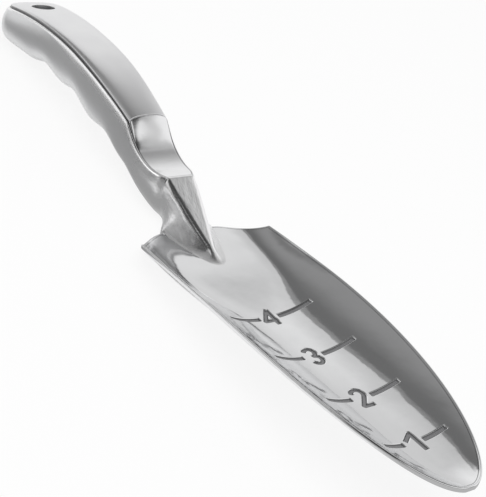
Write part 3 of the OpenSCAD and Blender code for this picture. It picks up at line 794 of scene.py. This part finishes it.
def made_plain(piece, modifier):
    """Gives a piece the plain mesh of its modified shape, with its sharp edges marked."""
    depsgraph = bpy.context.evaluated_depsgraph_get()
    made = bpy.data.meshes.new_from_object(piece.evaluated_get(depsgraph))
    piece.modifiers.remove(modifier)
    made.name = piece.data.name
    piece.data = made
    made.set_sharp_from_angle(angle=SHARP_ANGLE)
    return made


def drilled(piece):
    """Bores the hang hole through a piece and gives its wall the finish of the bore."""
    bore = piece.modifiers.new("bore", "BOOLEAN")
    bore.operation = "DIFFERENCE"
    bore.solver = "EXACT"
    bore.object = cutter
    made = made_plain(piece, bore)
    made.materials.append(bored_wall)
    lean = HOLE_LEAN + REST_TILT
    mouth = Vector(at_rest(HOLE_MOUTH).tolist())
    axis = Vector((-math.sin(lean), 0, math.cos(lean)))
    for polygon in made.polygons:
        spoke = polygon.center - mouth
        spoke -= axis * spoke.dot(axis)
        if spoke.length < (HOLE_RADIUS + 0.06) / 1000:
            polygon.material_index = len(made.materials) - 1


def shaded_bore(place):
    # The hole is drilled and left as cut, with fine rings along it. Its wall is painted dark, most in the
    # rings, as painted shade inside the hole.
    rings = place.noise(2400, 2, stretch=(0.3, 0.3, 1))
    colour = rings.blend((0.52, 0.52, 0.525, 1), (0.36, 0.36, 0.365, 1))
    return colour, 0.4 + rings * 0.1, rings, 0.00005


bored_wall = metal("drilled_aluminium", shaded_bore)


def cast_satin(place):
    # Fine blasted grain on the grip gives way to a dressed, brighter neck. The border is rubbed smooth,
    # and its colour, with a thin line along the foot's sole, is lightened as a painted highlight.
    grain = place.noise(2600, 2)
    mottle = place.noise(130, 4)
    scuff = place.noise(380, 5, stretch=(0.4, 1, 1))
    along = place.axis(0)
    neck = along.ramp(-0.046, -0.012)
    highlight_and_rub = painted(place, "highlight_and_rub")
    shine = (highlight_and_rub * 0.95 + neck * 0.5).math("MINIMUM", 1)
    tone = mottle * 0.35 + grain * 0.2 - 0.1
    plain = tone.blend((0.82, 0.823, 0.83, 1), (0.72, 0.723, 0.73, 1))
    colour = shine.blend(plain, (0.94, 0.94, 0.945, 1))
    # The flanks of the foot are left as cast.
    undressed = along.ramp(-0.012, -0.006) * (1 - along.ramp(0.006, 0.014))
    undressed = undressed * (1 - highlight_and_rub.ramp(0.05, 0.3))
    roughness = 0.27 + mottle * 0.06 - neck * 0.12 - highlight_and_rub * 0.08 + scuff * 0.05 + undressed * 0.14
    height = grain * 0.6 + mottle * 0.3 + (scuff - 0.5) * (0.2 + neck * 1.7 + undressed * 3)
    return colour, roughness, height, 0.00006


body_object.data.materials.append(metal("cast_satin_aluminium", cast_satin))
drilled(body_object)
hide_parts("handle_body")
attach(body_object, "root")

# ---- Grip panel and thumb rest ----
# Two crowned strips of aluminium are bedded in the recess with a hairline gap around them. The
# panel is brushed satin and the thumb rest polished, and they meet on a ridge. Each is drawn as a
# strip that follows a line, whose points carry its half width and the rise of its crown.


def crown_rise(s):
    fore = 3 * smooth(1 - (RIDGE_AT - s) / 9.8)
    butt = np.where(s < ROUND_AT, 1, rounding(s))
    aft = mix(3, 2, smooth((s - RIDGE_AT) / (CROWN_AT - RIDGE_AT))) * butt
    return np.where(s < RIDGE_AT, fore, aft)


def node_group(name, inputs):
    """Starts a tree, and returns it with its inputs' identifiers and their values inside it."""
    tree = bpy.data.node_groups.new(name, "GeometryNodeTree")
    tree.interface.new_socket(name="Geometry", in_out="OUTPUT", socket_type="NodeSocketGeometry")
    names = {}
    for label, kind in inputs.items():
        made = tree.interface.new_socket(name=label, in_out="INPUT", socket_type="NodeSocket" + kind)
        names[label] = made.identifier
    entry = tree.nodes.new("NodeGroupInput")
    return tree, names, {label: Signal(entry.outputs[label]) for label in names}


def kept(tree, shape, name, value):
    """Stores a value on a shape's points."""
    values = {"Geometry": shape, "Name": name, "Value": value}
    return node(tree, "GeometryNodeStoreNamedAttribute", values)


def welded(tree, shapes):
    """Joins shapes into one closed skin."""
    joined = tree.nodes.new("GeometryNodeJoinGeometry")
    for shape in shapes:
        tree.links.new(shape.socket, joined.inputs[0])
    values = {"Geometry": Signal(joined.outputs[0]), "Distance": 0.001}
    return node(tree, "GeometryNodeMergeByDistance", values)


def ended(tree, shape, finish):
    """Ends a tree with smooth faces, real geometry and the finish."""
    shape = node(tree, "GeometryNodeSetShadeSmooth", {"Geometry": shape})
    shape = node(tree, "GeometryNodeRealizeInstances", {"Geometry": shape})
    shape = node(tree, "GeometryNodeSetMaterial", {"Geometry": shape, "Material": finish})
    node(tree, "NodeGroupOutput", {0: shape})


def grown(piece, tree, names, sizes):
    """Runs a tree on a piece with the given sizes and keeps the plain mesh."""
    maker = piece.modifiers.new("maker", "NODES")
    maker.node_group = tree
    for label, value in sizes.items():
        maker[names[label]] = value
    made_plain(piece, maker)


strip_inputs = {"Line": "Geometry", "Columns": "Int", "Finish": "Material"}
strip_inputs.update({name: "Float" for name in ("Thickness", "Edge Round", "Tilt")})
strip, strip_names, given = node_group("crowned_strip", strip_inputs)
line = given["Line"]
count = node(strip, "GeometryNodeAttributeDomainSize", {0: line})
grid_values = {"Vertices X": count, "Vertices Y": given["Columns"]}
flat = node(strip, "GeometryNodeMeshGrid", grid_values)
number = node(strip, "GeometryNodeInputIndex")
row = ((number + 0.25) / given["Columns"]).math("FLOOR")
column = number - row * given["Columns"]


def along_line(kind, value):
    values = {"Geometry": line, "Value": value, "Index": row}
    return node(strip, "GeometryNodeSampleIndex", values, data_type=kind)


def stored(name):
    return node(strip, "GeometryNodeInputNamedAttribute", {"Name": name})


def vector(tree, *parts):
    return node(tree, "ShaderNodeCombineXYZ", dict(enumerate(parts)))


centre = along_line("FLOAT_VECTOR", node(strip, "GeometryNodeInputPosition"))
centre_z = centre.axis(2)
half_wide = along_line("FLOAT", stored("half_width"))
crown = along_line("FLOAT", stored("crown"))
power = along_line("FLOAT", stored("power"))
angle = column * math.pi / (given["Columns"] - 1)
t = 0 - angle.math("COSINE")
reach = t.math("ABSOLUTE")
full = (1 - reach.math("POWER", power)).math("MAXIMUM", 0).math("POWER", 1 / power)
round_off = 1 - (1 - reach.math("POWER", 50)).math("MAXIMUM", 0).math("SQRT")
height = centre_z + crown * full - given["Edge Round"] * round_off
spot = vector(strip, centre.axis(0), t * half_wide, height)
face = node(strip, "GeometryNodeSetPosition", {"Geometry": flat, "Position": spot})
face = kept(strip, face, "bed", centre_z - given["Thickness"])
# The seam marks the strip's edges, where painted shade is laid.
face = kept(strip, face, "seam", reach.ramp(0.968, 0.992))
# The face is pulled down to the level bed, and the two are welded into a closed strip.
pull_values = {"Mesh": face, "Offset Scale": 0, "Individual": False}
pulled = node(strip, "GeometryNodeExtrudeMesh", pull_values, output="Mesh")
here = node(strip, "GeometryNodeInputPosition")
low = vector(strip, here.axis(0), here.axis(1), stored("bed"))
top_faces = Signal(pulled.socket.node.outputs["Top"])
low_values = {"Geometry": pulled, "Selection": top_faces, "Position": low}
lowered = node(strip, "GeometryNodeSetPosition", low_values)
turned = node(strip, "GeometryNodeFlipFaces", {"Mesh": lowered})
closed = welded(strip, [turned, face])
lean = vector(strip, 0, 0 - given["Tilt"])
place_values = {
    "Geometry": closed,
    "Translation": (-MIDDLE_AT / 1000, 0, -FOOTING / 1000),
    "Rotation": lean,
    "Scale": (0.001, 0.001, 0.001),
}
placed = node(strip, "GeometryNodeTransform", place_values)
ended(strip, placed, given["Finish"])


def strip_piece(name, along, edge, wide, rise, power, finish):
    """Lays a crowned strip along stations with the given edge height, half width and crown."""
    mesh = bpy.data.meshes.new(name)
    mesh.from_pydata(plotted(along, 0, edge).tolist(), [], [])
    for layer_name, layer_values in (("half_width", wide), ("crown", rise), ("power", power)):
        layer = mesh.attributes.new(layer_name, "FLOAT", "POINT")
        layer.data.foreach_set("value", np.asarray(layer_values, np.float32))
    piece = in_scene(name, mesh)
    sizes = {"Columns": 49, "Thickness": RECESS_DEPTH, "Edge Round": 0.12, "Tilt": REST_TILT}
    grown(piece, strip, strip_names, {**sizes, "Finish": finish})
    return piece


def end_round(s, end, radius):
    """Drop of a strip's surface where its end is rounded over."""
    close = np.clip(1 - np.abs(s - end) / radius, 0, 1)
    return radius * (1 - np.sqrt(1 - close**2))


def seam_shaded(place, colour, share):
    """Darkens a strip's colour along the seam at its edges, as painted shade in the gap."""
    return (painted(place, "seam") * share).blend(colour, (0.12, 0.12, 0.122, 1))


def brushed_panel(place):
    # Brushed across its length, then handled smooth, with painted shade along the seam at its edges.
    brush = place.noise(1500, 2, stretch=(1, 0.05, 1))
    cloud = place.noise(90, 4)
    colour = cloud.blend((0.86, 0.86, 0.865, 1), (0.80, 0.80, 0.81, 1))
    roughness = 0.24 + cloud * 0.07 + brush * 0.04
    return seam_shaded(place, colour, 0.8), roughness, brush * 0.5 + cloud * 0.4, 0.00004


def polished_rest(place):
    # Polished, with fine wear from the thumb across the slope and a little painted shade along its edges.
    wear = place.noise(700, 4, stretch=(1, 0.2, 1))
    cloud = place.noise(160, 3)
    colour = cloud.blend((0.90, 0.90, 0.905, 1), (0.84, 0.84, 0.85, 1))
    roughness = 0.14 + wear * 0.05 + cloud * 0.05
    return seam_shaded(place, colour, 0.5), roughness, wear * 0.3 + cloud * 0.8, 0.00005


turn = np.sin(np.pi / 2 * np.linspace(1, 0, 31))
butt_s = ROUND_AT + (BUTT_ROUNDING - BORDER - INLAY_GAP) * turn
butt_y = np.maximum(0, 1 - turn**BUTT_POWER) ** (1 / BUTT_POWER)
butt_y = (BUTT_WIDTH / 2 - BORDER - INLAY_GAP) * butt_y
panel_end = RIDGE_AT + 0.06
run_s = spread(ROUND_AT, panel_end + 0.4, -1.1)
run_s = np.array(run_s + spread(panel_end + 0.4, panel_end, -0.08))
panel_s = np.r_[butt_s, run_s]
panel_y = np.r_[butt_y, recess_half_width(run_s) - INLAY_GAP]
panel = strip_piece(
    "grip_panel_brushed",
    panel_s,
    edge_z(panel_s) - end_round(panel_s, panel_end, 0.2),
    panel_y,
    crown_rise(panel_s),
    mix(2.3, 4, smooth((panel_s - RIDGE_AT - 8) / 40)),
    metal("brushed_panel_aluminium", brushed_panel),
)
drilled(panel)
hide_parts("grip_panel")
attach(panel, "root")

rest_end = RIDGE_AT - 0.06
rest_start = START + INLAY_GAP
rest_s = [rest_end] + spread(rest_end, rest_end - 0.6, -0.06)
rest_s += spread(rest_end - 0.6, rest_start + 0.3, -0.45)
rest_s = np.array(rest_s + spread(rest_start + 0.3, rest_start, -0.06))
rest = strip_piece(
    "thumb_rest_polished",
    rest_s,
    edge_z(rest_s) - end_round(rest_s, rest_end, 0.5) - end_round(rest_s, rest_start, 0.25),
    recess_half_width(rest_s) - INLAY_GAP,
    crown_rise(rest_s),
    2.3 + 0 * rest_s,
    metal("polished_rest_aluminium", polished_rest),
)
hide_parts("thumb_rest")
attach(rest, "root")
bpy.data.objects.remove(cutter)

# ---- Foot rivets ----
# Two solid aluminium rivets hold the blade to the foot. Their countersunk heads lie in the blade's
# underside, faced off in fine rings until they are all but flush, and their shanks end in the foot.

RIVET_HEAD = 2.8
RIVET_SHANK = 1.5
RIVET_LENGTH = 5.6
RIVET_PROUD = 0.04

rivet_inputs = {"Places": "Geometry", "Finish": "Material"}
rivet_inputs.update({name: "Float" for name in ("Head Radius", "Shank Radius", "Length", "Lean")})
riveting, rivet_names, given = node_group("countersunk_rivets", rivet_inputs)
head, shank, long = given["Head Radius"], given["Shank Radius"], given["Length"]
edge = head * 0.03
flat_head = head - edge
sink = head - shank + edge
zero = head * 0


def lifted(shape, height):
    values = {"Geometry": shape, "Translation": vector(riveting, 0, 0, height)}
    return node(riveting, "GeometryNodeTransform", values)


def cone(low_radius, high_radius, low, high):
    values = {"Vertices": 64, "Radius Bottom": low_radius, "Radius Top": high_radius, "Depth": high - low}
    return lifted(node(riveting, "GeometryNodeMeshCone", values, fill_type="NONE"), low)


def cap(radius, height):
    values = {"Vertices": 64, "Radius": radius}
    disc = node(riveting, "GeometryNodeMeshCircle", values, fill_type="TRIANGLE_FAN")
    return lifted(disc, height)


turned = node(riveting, "GeometryNodeFlipFaces", {"Mesh": cap(flat_head, zero)})
closed = welded(riveting, [
    turned,
    cone(flat_head, head, zero, edge),
    cone(head, shank, edge, sink),
    cone(shank, shank, sink, long),
    cap(shank, long),
])
here = node(riveting, "GeometryNodeInputPosition")
radius = (here.axis(0) * here.axis(0) + here.axis(1) * here.axis(1)).math("SQRT")
rivet = kept(riveting, closed, "from_axis", radius)
lean = vector(riveting, 0, given["Lean"])
values = {"Points": given["Places"], "Instance": rivet, "Rotation": lean, "Scale": (0.001, 0.001, 0.001)}
rivets = node(riveting, "GeometryNodeInstanceOnPoints", values)
ended(riveting, rivets, given["Finish"])


def faced_rivet(place):
    # The facing tool leaves fine rings round the head, and handling dulls them in spots.
    from_axis = painted(place, "from_axis")
    rings = (from_axis * 48).math("SINE") * 0.5 + 0.5
    dulled = place.noise(900)
    colour = dulled.blend((0.74, 0.742, 0.75, 1), (0.66, 0.662, 0.67, 1))
    return colour, 0.24 + dulled * 0.1 + rings * 0.04, rings * 0.5 + dulled * 0.4, 0.00001


places_mesh = bpy.data.meshes.new("foot_rivets_faced")
sunk = -(BLADE_THICKNESS * math.cos(SEAT_CLIMB) + RIVET_PROUD)
rivet_places = []
for at in (HEEL_AT - 4, HEEL_AT - 11):
    spot = [-at + sunk * math.sin(SEAT_CLIMB), 0, seat_z(at) + sunk * math.cos(SEAT_CLIMB)]
    rivet_places.append(at_rest(spot).tolist())
places_mesh.from_pydata(rivet_places, [], [])
foot_rivets = in_scene("foot_rivets_faced", places_mesh)
rivet_sizes = {
    "Head Radius": RIVET_HEAD,
    "Shank Radius": RIVET_SHANK,
    "Length": RIVET_LENGTH,
    "Lean": SEAT_CLIMB - REST_TILT,
    "Finish": metal("faced_rivet_aluminium", faced_rivet),
}
grown(foot_rivets, riveting, rivet_names, rivet_sizes)
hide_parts("foot_rivets")
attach(foot_rivets, "root")

# ---- Locating dowels ----
# Two plain ground steel dowels stand in the casting and hold the grip panel in its place. They are
# hidden once the panel is on, and the frame's own solids stand for them.


def ground_steel(place):
    # Centreless grinding leaves fine marks round the pin, with a thin film of oil in patches.
    marks = place.noise(3000, 2, stretch=(1, 1, 0.1))
    film = place.noise(400)
    colour = film.blend((0.5, 0.5, 0.52, 1), (0.4, 0.4, 0.42, 1))
    return colour, 0.3 + film * 0.1, marks, 0.00001


steel = metal("ground_dowel_steel", ground_steel)
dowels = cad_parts["locating_dowels"]
for slot in dowels.material_slots:
    slot.material = steel

# ---- Floor, light and backdrop ----
# The trowel lies on a pale matt floor in a white room. What its metal mirrors is drawn in the
# room's walls and in a grey cloth, by bearing and height, and neither shows to the eye.


def laid_square(name, half, level):
    corners = [(-half, -half, 0), (half, -half, 0), (half, half, 0), (-half, half, 0)]
    mesh = bpy.data.meshes.new(name)
    mesh.from_pydata(corners, [], [(0, 1, 2, 3)])
    made = in_scene(name, mesh)
    made.location = (0, 0, level)
    return made


floor = laid_square("floor", 3, -0.0002)
pale = bpy.data.materials.new("pale_floor")
tree = cleared(pale)
white = (1, 1, 1, 1)
seen = node(tree, "ShaderNodeLightPath", output="Is Camera Ray")
mirrored = node(tree, "ShaderNodeLightPath", output="Is Glossy Ray")
matt = node(tree, "ShaderNodeBsdfDiffuse", {"Color": (0.82, 0.82, 0.82, 1)})
glow = node(tree, "ShaderNodeEmission", {"Color": white})
mixed = node(tree, "ShaderNodeMixShader", {0: seen * 0.86 + mirrored * 0.5, 1: matt, 2: glow})
node(tree, "ShaderNodeOutputMaterial", {"Surface": mixed})
floor.data.materials.append(pale)

world = bpy.data.worlds.new("studio")
scene.world = world
tree = cleared(world)


def profile(signal, points):
    """Runs through (degrees, brightness) points."""
    low = points[0][0]
    span = points[-1][0] - low
    stops = [((at - low) / span, (level, level, level, 1)) for at, level in points]
    values = {0: (signal - low) * (1 / span)}
    return node(tree, "ShaderNodeValToRGB", values, stops=stops)


def between(signal, low, high, soft):
    return signal.ramp(low - soft, low + soft) * (1 - signal.ramp(high - soft, high + soft))


heading = node(tree, "ShaderNodeTexCoord", output="Generated")
climb = heading.axis(2).math("ARCSINE") * (180 / math.pi)
# Bearings run from -60 round to 300 degrees, counted from the tip's way towards the left.
bearing = heading.axis(1).math("ARCTAN2", heading.axis(0)) * (180 / math.pi)
bearing = bearing + bearing.math("LESS_THAN", -60) * 360

# A long white wall fades towards its top, a bright screen stands before the tip, and the side
# behind the camera and the ceiling are dim.
wall_tones = [(-20, 0.8), (5, 0.93), (20, 0.93), (30, 0.84), (38, 0.67), (44, 0.6), (52, 0.42)]
far_wall = profile(climb, wall_tones + [(62, 0.33), (74, 0.14)])
far_wall = far_wall * (0.74 + bearing.ramp(126, 148) * 0.26)
near_wall = (0.95 - climb.ramp(45, 52) * 0.4) * (1 - climb.ramp(58, 62) * 0.88)
joint = bearing.ramp(100, 122)
wall = (far_wall * joint + near_wall * (1 - joint)) * between(bearing, 50, 210, 12)
screen = between(climb, 16, 60, 5) * 0.95
screen = screen * (1 - bearing.ramp(38, 62) + bearing.ramp(284, 294))
side = 0.36 * between(bearing, 204, 252, 6) * (1 - climb.ramp(60, 70))
light = wall.math("MAXIMUM", screen).math("MAXIMUM", side)
# Two panels of the wall are dim, and three small openings in the dim side let light through.
half_dark = bearing.ramp(161.8, 163) * bearing.ramp(172, 170) * between(climb, 30, 54, 3)
light = light * (1 - half_dark * 0.55)
dim_corner = between(bearing, 168, 217, 1.2) * between(climb, 23, 54, 3)
corner_tone = 0.16 + bearing.ramp(176, 204) * 0.13 - bearing.ramp(205, 213) * 0.09
light = light * (1 - dim_corner) + dim_corner * corner_tone
glint = between(bearing, 217, 244, 5) * between(climb, -10, 24, 6) * 0.8
low_glint = between(bearing, 246, 264, 3) * between(climb, -20, 27, 5) * 0.45
high_glint = between(bearing, 233, 258, 5) * between(climb, 35, 52, 4) * 0.3
light = (light + glint + low_glint + high_glint).math("MAXIMUM", 0.045)
seen = node(tree, "ShaderNodeLightPath", output="Is Camera Ray")
strength = light + seen * (1 - light)
shade = node(tree, "ShaderNodeBackground", {"Color": white, "Strength": strength})
node(tree, "ShaderNodeOutputWorld", {"Surface": shade})

# A grey cloth lies on the floor beside the handle and before the tip, and only its reflection shows.
flag = laid_square("flag", 1, -0.0001)
for way in ("camera", "diffuse", "transmission", "volume_scatter", "shadow"):
    setattr(flag, "visible_" + way, False)
grey = bpy.data.materials.new("grey_flag")
tree = cleared(grey)
spot = node(tree, "ShaderNodeTexCoord", output="Object")
ahead = spot.axis(0)
right = 0 - spot.axis(1)
edge = 0.008 - ahead.ramp(-0.09, -0.05) * 0.015 + ahead.ramp(0, 0.02) * 0.053
away = right - edge
covered = away.ramp(0.006, 0.02) * (1 - away.ramp(0.24, 0.34)) * ahead.ramp(-0.24, -0.17)
covered = covered.math("MAXIMUM", ahead.ramp(0.12, 0.15) * 0.75)
# An opening in it beside the neck shows the pale floor.
opening = between(ahead, -0.046, -0.008, 0.006) * between(right, 0.038, 0.084, 0.006)
covered = covered * (1 - opening * 0.9)
clear = node(tree, "ShaderNodeBsdfTransparent")
cloth = away.ramp(0, 0.12).blend((0.38, 0.38, 0.38, 1), (0.21, 0.21, 0.21, 1))
dull = node(tree, "ShaderNodeEmission", {"Color": cloth})
faded = node(tree, "ShaderNodeMixShader", {0: covered, 1: clear, 2: dull})
node(tree, "ShaderNodeOutputMaterial", {"Surface": faded})
flag.data.materials.append(grey)

lamp_data = bpy.data.lights.new("softbox", "AREA")
lamp_data.shape = "SQUARE"
lamp_data.size = 1.2
lamp_data.energy = 10.5
lamp = in_scene("softbox", lamp_data)
lamp.location = (0.1, -0.2, 1.1)
lamp.rotation_euler = Vector(lamp.location).to_track_quat("Z", "Y").to_euler()
lamp.visible_glossy = False

scene.view_settings.view_transform = "Standard"
